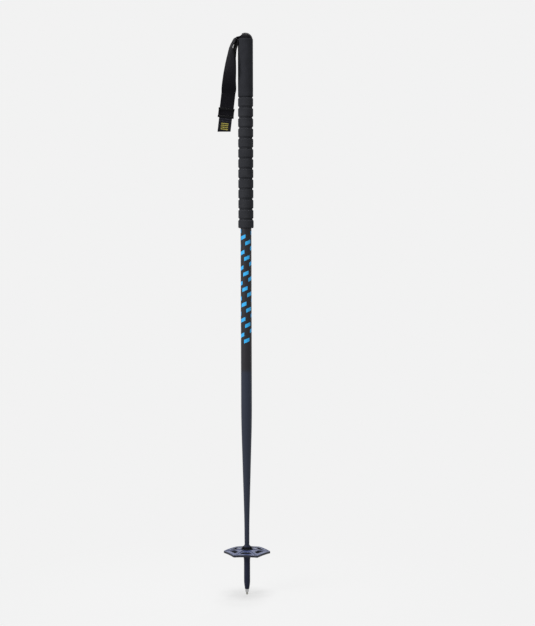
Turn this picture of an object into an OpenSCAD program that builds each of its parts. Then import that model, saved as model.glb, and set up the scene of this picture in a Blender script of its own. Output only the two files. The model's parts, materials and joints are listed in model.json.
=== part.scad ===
// Ski pole: tapered alloy shaft, foam grip, wrist strap, hexagonal basket and steel point.
// Millimetres, X to the right, Y away from the viewer, Z up, origin at the point of the tip.

/* [Shaft] */
// Height of the pole from the point to the top of the cap
pole_h = 1050; // [900:5:1350]
// Outside diameter of the parallel upper shaft
shaft_d = 20.3; // [17:0.1:23]
// Outside diameter of the slim lower end of the shaft
shaft_low_d = 9.2; // [8:0.1:10]
// Wall of the tube
shaft_wall = 1; // [0.6:0.1:2]
// Depth to which the tube is drawn down under the foam
key_deep = 0.3; // [0.2:0.05:0.5]
// Height of the lower end of the taper
taper_low_z = 105; // [100:1:140]
// Length of the taper
taper_l = 257; // [180:1:280]
// Length over which each end of the taper is eased
taper_ease = 60; // [20:1:80]

/* [Grip] */
// Outside diameter of the handle sleeve
grip_d = 28; // [26:0.1:34]
// Length of the smooth handle sleeve
handle_l = 107; // [90:1:140]
// Length of the grooved extension
extension_l = 242; // [100:1:320]
// Extra diameter of the band at the foot of the extension
foot_bulge = 0.7; // [0:0.1:2]
// Height of the band at the foot of the extension
foot_h = 15.6; // [8:0.1:18]
// Spacing of the grooves
groove_pitch = 18.8; // [12:0.1:30]
// Width of a groove at the surface
groove_w = 4.6; // [2:0.1:6]
// Depth of a groove
groove_deep = 1.8; // [0.6:0.1:2.2]
// Rounding of the bottom edge of the extension
foot_round = 2.2; // [0.5:0.1:2.5]
// Rounding of the top edge of the handle
shoulder_round = 0.8; // [0.3:0.1:1.5]
// Glue line between the foam and the tube
glue_gap = 0.1; // [0.05:0.01:0.3]

/* [Head] */
// Step from the handle's surface in to the dome
dome_step = 0.6; // [0.2:0.1:1.5]
// Height of the foam's top above the centre of the dome
seam_rise = 1.8; // [1:0.1:4]
// Thickness of the plug's flange
flange_t = 2.1; // [1.5:0.1:4]
// Depth of the tube's top end below the flange
tube_inset = 26; // [18:1:40]
// Length of the plug inside the tube
spigot_l = 46; // [20:1:70]
// Diameter of the cap screw
screw_d = 4; // [3:0.1:4.5]
// Diameter of the screw's head
screw_head_d = 7; // [5.5:0.1:8]
// Depth of the screw's head below the top of the dome
screw_sink = 1.2; // [0.8:0.1:3]
// Length of the screw
screw_l = 28; // [16:1:34]
// Depth of the drive recess in the screw
drive_deep = 1.6; // [0.8:0.1:2]
// Size of the drive recess across its flats
drive_af = 2.5; // [1.5:0.1:3]

/* [Strap] */
// Diameter of the steel pin
pin_d = 3; // [2:0.1:3.4]
// Distance of the pin from the grip's surface
pin_inset = 6.5; // [5.5:0.1:7]
// Room on each side of the pin inside the loop of webbing
pin_room = 0.35; // [0.2:0.05:0.5]
// Width of the webbing
web_w = 26; // [22:0.5:30]
// Width of the webbing where it is folded narrow round the pin
web_neck_w = 13.6; // [11:0.1:14]
// Thickness of the webbing
web_t = 1.6; // [1:0.1:2]
// Space between the two strands where they lie flat
web_gap = 0.8; // [0.4:0.1:2]
// Room between the webbing and its slot in the head
slot_room = 0.5; // [0.4:0.1:0.8]
// Depth of the mouth in the foam below the pin
mouth_drop = 4.6; // [4:0.1:8]
// Clearance round the pin and the screw in their bores
pin_fit = 0.03; // [0.01:0.01:0.08]
// Furthest swing of the strap away from the grip
swing = 65; // [30:1:70]
// Lean of the flat lower stretch from the vertical
lean = 6.84; // [3:0.1:12]
// Length of the flat lower stretch, to the end of the tab
flat_l = 72; // [60:1:100]
// Drop of the start of the flat stretch below the pin
flat_drop = 101; // [90:1:120]
// Distance of the start of the flat stretch from the grip's surface
flat_out = 17.6; // [16:0.1:24]

/* [Slider and tab] */
// Length of the slider along the strap
slider_l = 18; // [14:0.5:24]
// Wall of the slider
slider_wall = 1.2; // [1:0.1:2.5]
// Room round the webbing inside the slider
slider_room = 0.3; // [0.3:0.1:0.8]
// Height of each bar of the slider
bar_h = 4; // [2.5:0.1:6]
// Reach of the ears at the slider's corners
ear = 0.3; // [0.2:0.1:1.5]
// Length of the tab
tab_l = 25.4; // [18:0.1:40]
// Width of the tab
tab_w = 24; // [18:0.5:26]
// Thickness of the tab's fabric
tab_t = 0.9; // [0.6:0.1:1.5]
// Gap between the tab and what it folds round
tab_gap = 0.05; // [0.02:0.01:0.2]
// Gap between the slider and the tab that it rests on
slider_gap = 0.3; // [0.2:0.1:1]

/* [Basket] */
// Radius of the basket to its corners
basket_r = 44; // [38:0.1:60]
// Turn of the basket about the shaft
basket_turn = -3; // [-30:1:30]
// Rounding of the basket's corners
basket_round = 2; // [0.5:0.1:5]
// Height of the basket's surface at its corners
basket_z = 82; // [80:0.1:85]
// Rise of the basket from its corners to its middle
dish_h = 4.5; // [1:0.1:6]
// Thickness of the basket
plate_t = 2.2; // [1.5:0.1:3]
// Width of the thick bead along the edge
bead_w = 2.6; // [1.5:0.1:5]
// How far the bead stands above the plate
bead_proud = 0.5; // [0.2:0.1:1]
// How far the bead reaches below the plate
bead_drop = 1.2; // [0.2:0.1:2]
// Width of the band outside the windows
band_w = 7.6; // [6:0.1:12]
// Distance of the windows' inner edge from the shaft's axis
window_in = 21.5; // [16:0.1:23]
// Width of the spokes between windows
spoke_w = 10; // [3:0.1:12]
// Rounding of the windows' corners
window_round = 1.2; // [0.5:0.1:2]
// Depth of the lip under the edge of each window
lip_h = 3.4; // [1:0.1:4]
// Width of that lip
lip_w = 1.4; // [0.8:0.1:2]
// Height of the rib along each spoke
rib_h = 0.9; // [0.4:0.1:2]
// Width of the rib along each spoke
rib_w = 2; // [1:0.1:3]
// Wall of the sleeve that turns on the ferrule
sleeve_wall = 1.2; // [0.8:0.1:2]
// Running clearance of that sleeve on the ferrule
run_gap = 0.06; // [0.03:0.01:0.1]
// End play of the basket between its stops
end_play = 0.3; // [0.2:0.1:0.6]
// Thickness of the soft collar
collar_t = 1.4; // [1:0.1:3]
// Rise of the collar above the sleeve, round the ferrule's head
collar_rise = 3; // [0:0.1:4]
// Number of pockets round the collar
collar_pockets = 4; // [3:1:8]
// Radius of a pocket in the collar
pocket_r = 1.5; // [0.8:0.1:2]

/* [Ferrule and tip] */
// Height of the ferrule's lower end
ferrule_z = 10.7; // [8:0.1:16]
// Diameter of the ferrule's lower end
nose_d = 7.9; // [7.5:0.1:9]
// Height of the foot of the ferrule's parallel barrel
barrel_z = 26; // [22:0.5:32]
// Diameter of the parallel barrel
barrel_d = 11.5; // [11.2:0.1:12.4]
// Length of the parallel barrel
barrel_l = 34; // [20:0.5:36]
// Height of the lower stop under the basket
stop_z = 70.5; // [68:0.1:72]
// Height of the lower stop
stop_h = 2.5; // [1.5:0.1:4]
// Diameter of the lower stop
stop_d = 14.4; // [13.4:0.1:16]
// Diameter of the journal that the basket turns on
journal_d = 12.6; // [12:0.1:13.2]
// Length of the journal between its stops
journal_l = 15.5; // [15:0.1:22]
// How far the ferrule's head laps over the sleeve
crown_lap = 0.7; // [0.4:0.1:0.7]
// Height of the ferrule's head
crown_h = 5.5; // [3:0.1:7]
// Depth of the tube inside the ferrule
socket_l = 54; // [30:1:58]
// Diameter of the steel sleeve where it shows
steel_d = 6.9; // [6:0.1:7.4]
// Length of the steel sleeve that shows
steel_l = 6.2; // [4:0.1:8]
// Diameter of the steel sleeve inside the ferrule
shank_d = 5.2; // [4.6:0.1:5.6]
// Length of the steel sleeve inside the ferrule
shank_l = 17; // [10:1:24]
// Diameter of the hard point
point_d = 3.7; // [3:0.1:4]
// Depth of the hard point inside the sleeve
point_deep = 11; // [6:1:16]
// Depth of the cup in the end of the point
cup_deep = 0.6; // [0.2:0.1:1]

/* [Hidden] */
$fn = 96;
// Small overrun that lets a cut pass clean through a face
eps = 1;
// Sides of a basket
sides = 6;

// Head: heights from the top down
grip_r = grip_d / 2;
shaft_r = shaft_d / 2;
seat_r = shaft_r - key_deep;
dome_r = grip_r - dome_step;
dome_z = pole_h - dome_r;
seam_z = dome_z + seam_rise;
part_z = seam_z + flange_t;
tube_top_z = seam_z - tube_inset;
handle_z = seam_z - handle_l;
extension_z = handle_z - extension_l;
screw_top = pole_h - screw_sink;

// Strap: the pin lies on the joint between plug and cap
pin_x = pin_inset - grip_r;
pin_r = pin_d / 2;
loop_in = pin_r + pin_room;
loop_mid = loop_in + web_t / 2;
loop_out = loop_in + web_t;
notch_r = loop_out + slot_room;
slot_w = web_neck_w + 2 * slot_room;
flange_r = sqrt(dome_r * dome_r - (part_z - dome_z) * (part_z - dome_z));
pin_wall = 0.3;
pin_l = 2 * (sqrt(flange_r * flange_r - (pin_x - pin_r) * (pin_x - pin_r)) - pin_wall);
strand_y = (web_gap + web_t) / 2;
// Steps of the webbing in each smooth span and round the pin, and reach of its guide points
span_steps = 4;
loop_step = 22.5;
guide = 8;

// Slider and tab, measured down the flat stretch
tab_top = flat_l - tab_l;
slider_low = tab_top - slider_gap;
slot_in_w = web_w + 2 * slider_room;
slot_in_d = web_gap + 2 * web_t + 2 * slider_room;
slider_w = slot_in_w + 2 * slider_wall;
slider_d = slot_in_d + 2 * slider_wall;
tab_in = web_gap / 2 + web_t + tab_gap;
tab_turn = flat_l - tab_in - tab_t;
// Width of the webbing's ends inside the tab, and the length over which it narrows to it
tail_w = tab_w - 2 * tab_t;
narrow_l = 4;
// Step of the slider's side rails behind its bars, and reach of the rails over the webbing
rail_step = 0.5;
rail_lip = 1.2;

// Basket and ferrule, from the bottom up
journal_z = stop_z + stop_h;
crown_z = journal_z + journal_l;
ferrule_top = crown_z + crown_h;
journal_r = journal_d / 2;
tube_low_z = ferrule_top - socket_l;
bore_r = journal_r + run_gap;
crown_r = bore_r + crown_lap;
sleeve_r = bore_r + sleeve_wall;
collar_r = sleeve_r + collar_t;
sleeve_z = journal_z + end_play;
sleeve_top = crown_z - end_play;
collar_top = sleeve_top + collar_rise;
apothem = basket_r * cos(180 / sides);
window_out = apothem - band_w;
steel_z = ferrule_z - steel_l;
foot_out = collar_r + 2 * collar_t;
// Depth of the collar's pockets, and the edge left above and below them
pocket_deep = 0.8 * collar_t;
pocket_edge = 0.5;
// Step from the journal out to the flare under the stop, and the easing of the barrel's two ends
flare_step = 0.3;
flare_ease = 2.5;
barrel_ease = 5;
// Straight edge at the rim of the ferrule's head
crown_edge = 0.6;

// Unit vector along v
function unit(v) = v / norm(v);

// Points of the arc that rounds the corner p between a and b
function corner_arc(a, p, b, r, n) =
  let (u = unit(a - p), v = unit(b - p), half = acos(u * v) / 2,
       c = p + unit(u + v) * r / sin(half),
       s = p + u * r / tan(half) - c,
       e = p + v * r / tan(half) - c,
       from = atan2(s.y, s.x),
       turn = atan2(s.x * e.y - s.y * e.x, s * e))
  [for (i = [0 : n]) c + r * [cos(from + turn * i / n), sin(from + turn * i / n)]];

// A polygon with every corner rounded
function rounded(points, r, n = 5) =
  let (k = len(points))
  [for (i = [0 : k - 1]) each corner_arc(points[(i + k - 1) % k], points[i], points[(i + 1) % k], r, n)];

// Corners of a regular polygon
function ring(n, r, turn) = [for (i = [0 : n - 1]) r * [cos(turn + i * 360 / n), sin(turn + i * 360 / n)]];

// Corners of a rectangle about the origin
function rectangle(w, h) = [[-w, -h] / 2, [w, -h] / 2, [w, h] / 2, [-w, h] / 2];

// Point at t on a quadratic curve from a to b with its handle at h
function bend(a, h, b, t) = a * (1 - t) * (1 - t) + 2 * h * t * (1 - t) + b * t * t;

// Radius of the shaft's surface along its length: parallel, eased taper, parallel, then the foam's seat
taper_high_z = taper_low_z + taper_l;
taper_slope = (shaft_d - shaft_low_d) / 2 / (taper_l - taper_ease);
low_bend = [shaft_low_d / 2, taper_low_z + taper_ease / 2];
high_bend = [shaft_r, taper_high_z - taper_ease / 2];
ease_v = [taper_slope, 1] * taper_ease / 2;
bend_steps = 8;
function shaft_line(inset) =
  [for (p = concat(
    [[shaft_low_d / 2, tube_low_z]],
    [for (i = [0 : bend_steps])
      bend([shaft_low_d / 2, taper_low_z], low_bend, low_bend + ease_v, i / bend_steps)],
    [for (i = [0 : bend_steps])
      bend(high_bend - ease_v, high_bend, [shaft_r, taper_high_z], i / bend_steps)],
    [[shaft_r, extension_z], [seat_r, extension_z], [seat_r, tube_top_z]])) [p.x - inset, p.y]];

function reverse(list) = [for (i = [len(list) - 1 : -1 : 0]) list[i]];

module shaft_tube() {
  color([0.19, 0.21, 0.26])
  rotate_extrude() polygon(concat(shaft_line(0), reverse(shaft_line(shaft_wall))));
}

// Space that the strap sweeps through the head as it swings, as a slab of the given width
module strap_sweep(w) {
  reach = 3 * grip_r;
  top_edge = notch_r * [sin(swing), cos(swing)];
  translate([pin_x, 0, part_z]) rotate([90, 0, 0]) linear_extrude(w, center = true) {
    circle(notch_r);
    polygon([[0, 0], top_edge, top_edge + reach * [-cos(swing), sin(swing)], [-reach, 0]]);
  }
}

// Space that the lower strand needs under the pin, out through the grip's side
module strap_mouth(w) {
  mouth_h = notch_r + slot_room;
  translate([pin_x - 2 * grip_r, -w / 2, part_z - mouth_h]) cube([2 * grip_r, w, mouth_h]);
}

// The ball of the head between two heights
module dome_slice(low, high) {
  intersection() {
    translate([0, 0, dome_z]) sphere(dome_r);
    translate([0, 0, low]) cylinder(h = high - low, r = grip_d);
  }
}

// The pin's cylinder, grown by a clearance
module pin_shape(gap) {
  translate([pin_x, 0, part_z]) rotate([90, 0, 0])
    cylinder(h = pin_l + 2 * gap, r = pin_r + gap, center = true);
}

// The screw's shank and countersunk head, grown by a clearance
module screw_shape(gap) {
  r = screw_d / 2 + gap;
  rise = (screw_head_d - screw_d) / 2;
  translate([0, 0, screw_top - screw_l - gap]) cylinder(h = screw_l + gap, r = r);
  translate([0, 0, screw_top - rise]) cylinder(h = rise, r1 = r, r2 = r + rise);
}

module grip_plug() {
  spigot_r = seat_r - shaft_wall - glue_gap;
  color([0.12, 0.12, 0.13])
  difference() {
    union() {
      dome_slice(seam_z, part_z);
      translate([0, 0, tube_top_z]) cylinder(h = tube_inset, r = seat_r);
      translate([0, 0, tube_top_z - spigot_l]) cylinder(h = spigot_l, r = spigot_r);
    }
    strap_sweep(slot_w);
    strap_mouth(slot_w);
    pin_shape(pin_fit);
    screw_shape(pin_fit);
  }
}

module handle_sleeve() {
  lip = groove_w / 2;
  mouth_w = slot_w + 2 * slot_room;
  color([0.17, 0.18, 0.19])
  difference() {
    rotate_extrude() polygon(concat(
      [[seat_r + glue_gap, handle_z]],
      [for (a = [0 : 15 : 90]) [grip_r - groove_deep * (1 - sin(a)), handle_z + lip * (1 - cos(a))]],
      [for (a = [0 : 15 : 90])
        [grip_r - shoulder_round * (1 - cos(a)), seam_z - shoulder_round * (1 - sin(a))]],
      [[seat_r + glue_gap, seam_z]]));
    translate([-2 * grip_r, -mouth_w / 2, part_z - mouth_drop]) cube([2 * grip_r, mouth_w, mouth_drop]);
  }
}

module grip_extension() {
  lip = groove_w / 2;
  torus_r = (lip * lip + groove_deep * groove_deep) / (2 * groove_deep);
  last = floor((extension_l - foot_h) / groove_pitch);
  foot_r = grip_r + foot_bulge / 2;
  foot_top = handle_z - last * groove_pitch;
  color([0.18, 0.19, 0.20])
  difference() {
    rotate_extrude() polygon(concat(
      [[seat_r + glue_gap, extension_z]],
      [for (a = [0 : 15 : 90]) [foot_r - foot_round * (1 - sin(a)), extension_z + foot_round * (1 - cos(a))]],
      [[foot_r, foot_top], [grip_r, foot_top]],
      [for (a = [90 : -15 : 0]) [grip_r - groove_deep * (1 - sin(a)), handle_z - lip * (1 - cos(a))]],
      [[seat_r + glue_gap, handle_z]]));
    for (i = [1 : last])
      translate([0, 0, handle_z - i * groove_pitch])
        rotate_extrude() translate([grip_r + torus_r - groove_deep, 0]) circle(torus_r, $fn = 48);
  }
}

module top_cap() {
  color([0.13, 0.13, 0.15])
  difference() {
    dome_slice(part_z, pole_h + eps);
    strap_sweep(slot_w);
    pin_shape(pin_fit);
    screw_shape(pin_fit);
    translate([0, 0, screw_top]) cylinder(h = screw_sink + eps, r = screw_head_d / 2 + pin_fit);
  }
}

module cap_screw() {
  color([0.55, 0.55, 0.57])
  difference() {
    screw_shape(0);
    translate([0, 0, screw_top - drive_deep]) cylinder(h = drive_deep + eps, d = drive_af / cos(30), $fn = 6);
  }
}

module strap_pin() {
  color([0.72, 0.73, 0.74]) pin_shape(0);
}

// Stations of each strand from the pin out: distance out from the grip's surface, depth, drop below the
// pin, turn of the webbing, and share of the way from its folded width to its full width
outer_run = [
  [-1.2, 0, -1.2, 6, 0.04], [3.9, 0, 0, 13, 0.25], [8.1, 0, 7.4, 18, 0.45], [10.5, -0.4, 11.6, 15.5, 0.65],
  [13.1, -1.4, 20.5, 18, 0.85], [13.6, -3.8, 32.5, 29, 1], [13.5, -7.2, 46.5, 43.5, 1],
  [14.4, -9.6, 62.5, 58.5, 1], [15.6, -7.6, 79.5, 74, 1], [17.4, -3.4, 93.5, 89, 1]];
inner_run = [
  [0.8, 0, 1.8, 11.5, 0.04], [1.7, 0, 3.9, 16.5, 0.25], [4.3, 0, 13.2, 18, 0.5], [6.7, 1, 22.2, 16.5, 0.75],
  [7.8, 2.8, 30.5, 22, 0.9], [10, 5.2, 39, 33, 1], [12.5, 8.2, 50.5, 46.5, 1],
  [14.6, 9.8, 64.5, 60.5, 1], [16.3, 7.8, 79.5, 75, 1], [16.2, 3.4, 93.5, 89, 1]];
// The stations are drawn for a drop of 101, and follow the drop that is set
run_scale = flat_drop / 101;

// A station as x, y, z, turn and width
function station(s) = [-grip_r - s[0] * run_scale, s[1] * run_scale, part_z - s[2] * run_scale, s[3],
  web_neck_w + (web_w - web_neck_w) * s[4]];

// A station on the flat stretch, at a distance down it
function flat_station(down, y, w = web_w) =
  [-grip_r - flat_out - down * sin(lean), y, part_z - flat_drop - down * cos(lean), 90, w];

// A station on the loop round the pin
function loop_station(a, slide = 0) =
  [pin_x + loop_mid * cos(a) + slide, 0, part_z + loop_mid * sin(a), 0, web_neck_w];

// The flat stretch of one strand, from its start down into the tab
function flat_run(y) = [flat_station(0, y), flat_station(tab_top - narrow_l, y),
  flat_station(tab_top, y, tail_w), flat_station(tab_turn, y, tail_w)];

// Point at t on the smooth curve from b to c, with a and d as the points beyond
function smooth(a, b, c, d, t) =
  0.5 * (2 * b + (c - a) * t + (2 * a - 5 * b + 4 * c - d) * t * t + (3 * b - 3 * c + d - a) * t * t * t);

// A smooth run through all points but the first and last, up to just short of its end
function smooth_run(p) =
  [for (i = [1 : len(p) - 3]) for (j = [0 : span_steps - 1])
    smooth(p[i - 1], p[i], p[i + 1], p[i + 2], j / span_steps)];

// The free strand between the pin and the flat stretch, with one guide point beyond each end
function strand(run, a, y) = concat([loop_station(a, guide), loop_station(a)],
  [for (s = run) station(s)], [flat_station(0, y), flat_station(guide, y)]);

// The strip of webbing: up the outer strand, round the pin and down the inner strand
strip = concat(
  reverse([for (i = [1 : 3]) flat_run(-strand_y)[i]]),
  smooth_run(reverse(strand(outer_run, 90, -strand_y))),
  [for (a = [90 : -loop_step : -90 + loop_step]) loop_station(a)],
  smooth_run(strand(inner_run, -90, strand_y)),
  flat_run(strand_y));

function place(s) = [s[0], s[1], s[2]];

// The four corners of the webbing at a station of the strip
function corners(i) =
  let (s = strip[i], last = len(strip) - 1,
       along = unit(place(strip[min(i + 1, last)]) - place(strip[max(i - 1, 0)])),
       aim = [sin(s[3]), -cos(s[3]), 0],
       across = unit(aim - (aim * along) * along) * s[4] / 2,
       out = unit(cross(along, across)) * web_t / 2)
  [for (c = [across + out, out - across, -across - out, across - out]) place(s) + c];

module strap_webbing() {
  n = len(strip);
  color([0.11, 0.11, 0.13])
  polyhedron(
    points = [for (i = [0 : n - 1]) each corners(i)],
    faces = concat(
      [[0, 1, 2], [0, 2, 3]],
      [for (i = [0 : n - 2]) for (k = [0 : 3])
        let (a = 4 * i + k, b = 4 * i + (k + 1) % 4)
        each [[a, a + 4, b + 4], [a, b + 4, b]]],
      [for (e = [4 * n - 4]) each [[e, e + 2, e + 1], [e, e + 3, e + 2]]]));
}

// Places a shape on the flat stretch, with its Z up the strap from the start of that stretch
module on_strap() {
  translate([-grip_r - flat_out, 0, part_z - flat_drop]) rotate([0, lean, 0]) children();
}

// Extrudes an outline drawn in depth and height across the strap
module across_strap(w) {
  rotate([90, 0, 90]) linear_extrude(w, center = true) children();
}

module strap_slider() {
  mid_h = slider_l - bar_h;
  color([0.07, 0.07, 0.08])
  on_strap() translate([0, 0, slider_l / 2 - slider_low])
  difference() {
    union() {
      for (z = [-mid_h, mid_h] / 2)
        translate([0, 0, z]) across_strap(slider_w + 2 * ear)
          polygon(rounded(rectangle(slider_d, bar_h), slider_wall - rail_step / 2));
      across_strap(slider_w) square([slider_d - 2 * rail_step, mid_h], center = true);
    }
    cube([slot_in_w, slot_in_d, slider_l + eps], center = true);
    cube([slot_in_w - 2 * rail_lip, slider_d + eps, slider_l - 2 * bar_h], center = true);
  }
}

// Half a ring of points of the tab's fold, from the front leaf to the back one
function fold(r) = [for (a = [180 : 15 : 360]) [r * cos(a), r * sin(a) - tab_turn]];

module strap_tab() {
  out_r = tab_in + tab_t;
  color([0.10, 0.10, 0.12])
  on_strap() across_strap(tab_w) polygon(concat(
    [[-tab_in, -tab_top], [-out_r, -tab_top]], fold(out_r),
    [[out_r, -tab_top], [tab_in, -tab_top]], reverse(fold(tab_in))));
}

module tip_ferrule() {
  nose_r = nose_d / 2;
  barrel_r = barrel_d / 2;
  barrel_top = barrel_z + barrel_l;
  flare_r = journal_r + flare_step;
  socket_r = shaft_low_d / 2 + glue_gap;
  shank_r = shank_d / 2 + glue_gap;
  chamfer = (stop_d / 2 - flare_r);
  color([0.18, 0.19, 0.24])
  rotate_extrude() polygon(concat(
    [[0, ferrule_z + shank_l + glue_gap], [shank_r, ferrule_z + shank_l + glue_gap], [shank_r, ferrule_z]],
    [for (i = [0 : bend_steps])
      bend([nose_r, ferrule_z], [barrel_r, barrel_z - barrel_ease], [barrel_r, barrel_z], i / bend_steps)],
    [for (i = [0 : bend_steps])
      bend([barrel_r, barrel_top], [barrel_r, stop_z - flare_ease], [flare_r, stop_z], i / bend_steps)],
    [[stop_d / 2, stop_z + chamfer], [stop_d / 2, journal_z], [journal_r, journal_z],
     [journal_r, crown_z], [crown_r, crown_z], [crown_r, crown_z + crown_edge],
     [socket_r + crown_edge, ferrule_top], [socket_r, ferrule_top],
     [socket_r, tube_low_z - glue_gap], [0, tube_low_z - glue_gap]]));
}

// Height of the basket's upper surface at a distance from the axis
function dish_z(r) = basket_z + dish_h * (basket_r - r) / (basket_r - sleeve_r);

// The dish as a cone that overruns the basket's edge, thickened above and below
module dish(above, below) {
  far = basket_r + eps;
  rotate_extrude() polygon([
    [bore_r, dish_z(bore_r) + above], [far, dish_z(far) + above],
    [far, dish_z(far) - plate_t - below], [bore_r, dish_z(bore_r) - plate_t - below]]);
}

// A column with the basket's six-sided outline, drawn in by an inset
module basket_column(inset) {
  corner_r = basket_r - inset / cos(180 / sides);
  translate([0, 0, basket_z - dish_h - 2 * plate_t])
    linear_extrude(2 * dish_h + 4 * plate_t)
      polygon(rounded(ring(sides, corner_r, basket_turn), basket_round));
}

// Outline of one window grown by an edge, with X pointing out across its side of the basket
function window_line(edge) =
  [for (p = [[window_in - edge, -1], [window_out + edge, -1], [window_out + edge, 1], [window_in - edge, 1]])
    [p.x, p.y * (p.x * tan(180 / sides) - (spoke_w / 2 - edge) / cos(180 / sides))]];

// Columns through all the windows, grown by an edge
module window_columns(edge) {
  for (i = [0 : sides - 1])
    rotate(basket_turn + (i + 0.5) * 360 / sides)
      translate([0, 0, basket_z - dish_h - plate_t]) linear_extrude(3 * dish_h + plate_t)
        polygon(rounded(window_line(edge), window_round + edge));
}

module basket_plate() {
  rib_out = basket_r - bead_w - basket_round;
  color([0.36, 0.37, 0.43])
  difference() {
    union() {
      intersection() {
        dish(0, 0);
        basket_column(0);
      }
      intersection() {
        dish(0, lip_h);
        window_columns(lip_w);
      }
      intersection() {
        dish(bead_proud, bead_drop);
        difference() {
          basket_column(0);
          basket_column(bead_w);
        }
      }
      for (i = [0 : sides - 1])
        rotate([90, 0, basket_turn + i * 360 / sides]) linear_extrude(rib_w, center = true)
          polygon([[sleeve_r, dish_z(sleeve_r) - plate_t / 2], [rib_out, dish_z(rib_out) - plate_t / 2],
            [rib_out, dish_z(rib_out) + bead_proud], [foot_out, dish_z(foot_out) + rib_h],
            [foot_out, dish_z(foot_out)], [sleeve_r, dish_z(sleeve_r)]]);
      translate([0, 0, sleeve_z]) cylinder(h = sleeve_top - sleeve_z, r = sleeve_r);
    }
    window_columns(0);
    translate([0, 0, sleeve_z - eps]) cylinder(h = sleeve_top - sleeve_z + 2 * eps, r = bore_r);
  }
}

module basket_collar() {
  low = dish_z(sleeve_r);
  color([0.16, 0.17, 0.19])
  difference() {
    rotate_extrude() polygon([
      [sleeve_r + glue_gap, low + glue_gap], [foot_out - glue_gap, dish_z(foot_out) + glue_gap],
      [collar_r, (low + collar_top) / 2], [collar_r, collar_top - collar_t / 2],
      [collar_r - collar_t / 2, collar_top], [sleeve_r + glue_gap, collar_top]]);
    for (i = [0 : collar_pockets - 1])
      rotate((i + 0.5) * 360 / collar_pockets)
        translate([collar_r + pocket_r - pocket_deep, 0, low + pocket_edge])
          cylinder(h = collar_top - low - 2 * pocket_edge, r = pocket_r);
  }
}

module tip_sleeve() {
  bore = point_d / 2 + glue_gap;
  floor_z = steel_z + point_deep + glue_gap;
  lip_r = (steel_d + point_d) / 4;
  color([0.74, 0.75, 0.76])
  rotate_extrude() polygon([
    [bore, steel_z], [lip_r, steel_z], [steel_d / 2, steel_z + steel_l / 2], [steel_d / 2, ferrule_z],
    [shank_d / 2, ferrule_z], [shank_d / 2, ferrule_z + shank_l], [0, ferrule_z + shank_l],
    [0, floor_z], [bore, floor_z]]);
}

module tip_point() {
  r = point_d / 2;
  color([0.57, 0.58, 0.56])
  rotate_extrude() polygon([
    [0, cup_deep], [r - cup_deep, 0], [r, cup_deep], [r, steel_z + point_deep], [0, steel_z + point_deep]]);
}

shaft_tube();
grip_plug();
handle_sleeve();
grip_extension();
top_cap();
cap_screw();
strap_pin();
strap_webbing();
strap_slider();
strap_tab();
tip_ferrule();
basket_plate();
basket_collar();
tip_sleeve();
tip_point();
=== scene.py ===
"""Looks of a ski pole: printed shaft, grooved foam grip, woven strap, slider, basket and steel tip."""
import json
import math

import bmesh
import bpy
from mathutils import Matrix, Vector


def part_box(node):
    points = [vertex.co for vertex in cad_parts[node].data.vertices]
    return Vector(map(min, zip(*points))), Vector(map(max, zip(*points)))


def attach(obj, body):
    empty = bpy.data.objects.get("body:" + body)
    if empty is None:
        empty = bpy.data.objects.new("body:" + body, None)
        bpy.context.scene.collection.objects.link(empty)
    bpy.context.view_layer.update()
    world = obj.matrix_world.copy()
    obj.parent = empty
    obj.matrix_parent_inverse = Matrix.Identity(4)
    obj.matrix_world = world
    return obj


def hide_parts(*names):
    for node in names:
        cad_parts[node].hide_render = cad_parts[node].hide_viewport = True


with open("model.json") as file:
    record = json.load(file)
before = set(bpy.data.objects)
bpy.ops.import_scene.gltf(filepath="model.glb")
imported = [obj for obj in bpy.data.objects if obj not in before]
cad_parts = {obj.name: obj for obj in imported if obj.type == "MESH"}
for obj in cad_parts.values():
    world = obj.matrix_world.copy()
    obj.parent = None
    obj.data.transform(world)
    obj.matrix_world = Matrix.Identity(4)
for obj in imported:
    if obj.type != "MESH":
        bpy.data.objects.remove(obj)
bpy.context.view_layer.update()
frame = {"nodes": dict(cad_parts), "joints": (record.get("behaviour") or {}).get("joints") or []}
nodes = frame["nodes"]
joints = {joint["name"]: joint for joint in frame["joints"]}
scene = bpy.context.scene

MM = 0.001

# Points closer than this are taken as one
MERGE_REACH = 0.001 * MM

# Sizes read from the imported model
shaft_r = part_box("shaft_tube")[1].x
handle_low, handle_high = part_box("handle_sleeve")
foam_low, foam_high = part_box("grip_extension")
grip_r = handle_high.x
foam_bore = min(v.co.xy.length for v in nodes["grip_extension"].data.vertices)
pin = Vector(joints["strap_swing"]["pos_m"])
up_strap = Vector(joints["slider_slide"]["axis"]).normalized()

# Camera of the photograph: picture height and focal length in pixels, place, tilt down and roll
IMAGE_H = 626
FOCAL_PX = 1346
CAMERA_PLACE = Vector((0.040, -2.510, 0.6562))
CAMERA_TILT = math.radians(2.85)
CAMERA_ROLL = math.radians(0.137)

# Faces round the tube and round the foam
SHAFT_AROUND = 96
FOAM_AROUND = 112

# Grip: grooves, their softness, foot band and its round edge
GROOVE_PITCH = 18.8 * MM
GROOVE_HALF = 2.3 * MM
GROOVE_DEEP = 1.8 * MM
GROOVE_SOFT = 0.7 * MM
FOOT_H = 16.4 * MM
FOOT_ROUND = 2.2 * MM

# Print: blue dashes on two spirals round the bare shaft
DASH_TOP_Z = 0.682
DASH_RISE = 9.6 * MM
DASH_LEVELS = 22
DASH_TURN = math.radians(56)
DASH_W = 10.4 * MM
DASH_H = 6.8 * MM
DASH_SLANT = 2.2 * MM
DASH_PROUD = 0.06 * MM

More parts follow.
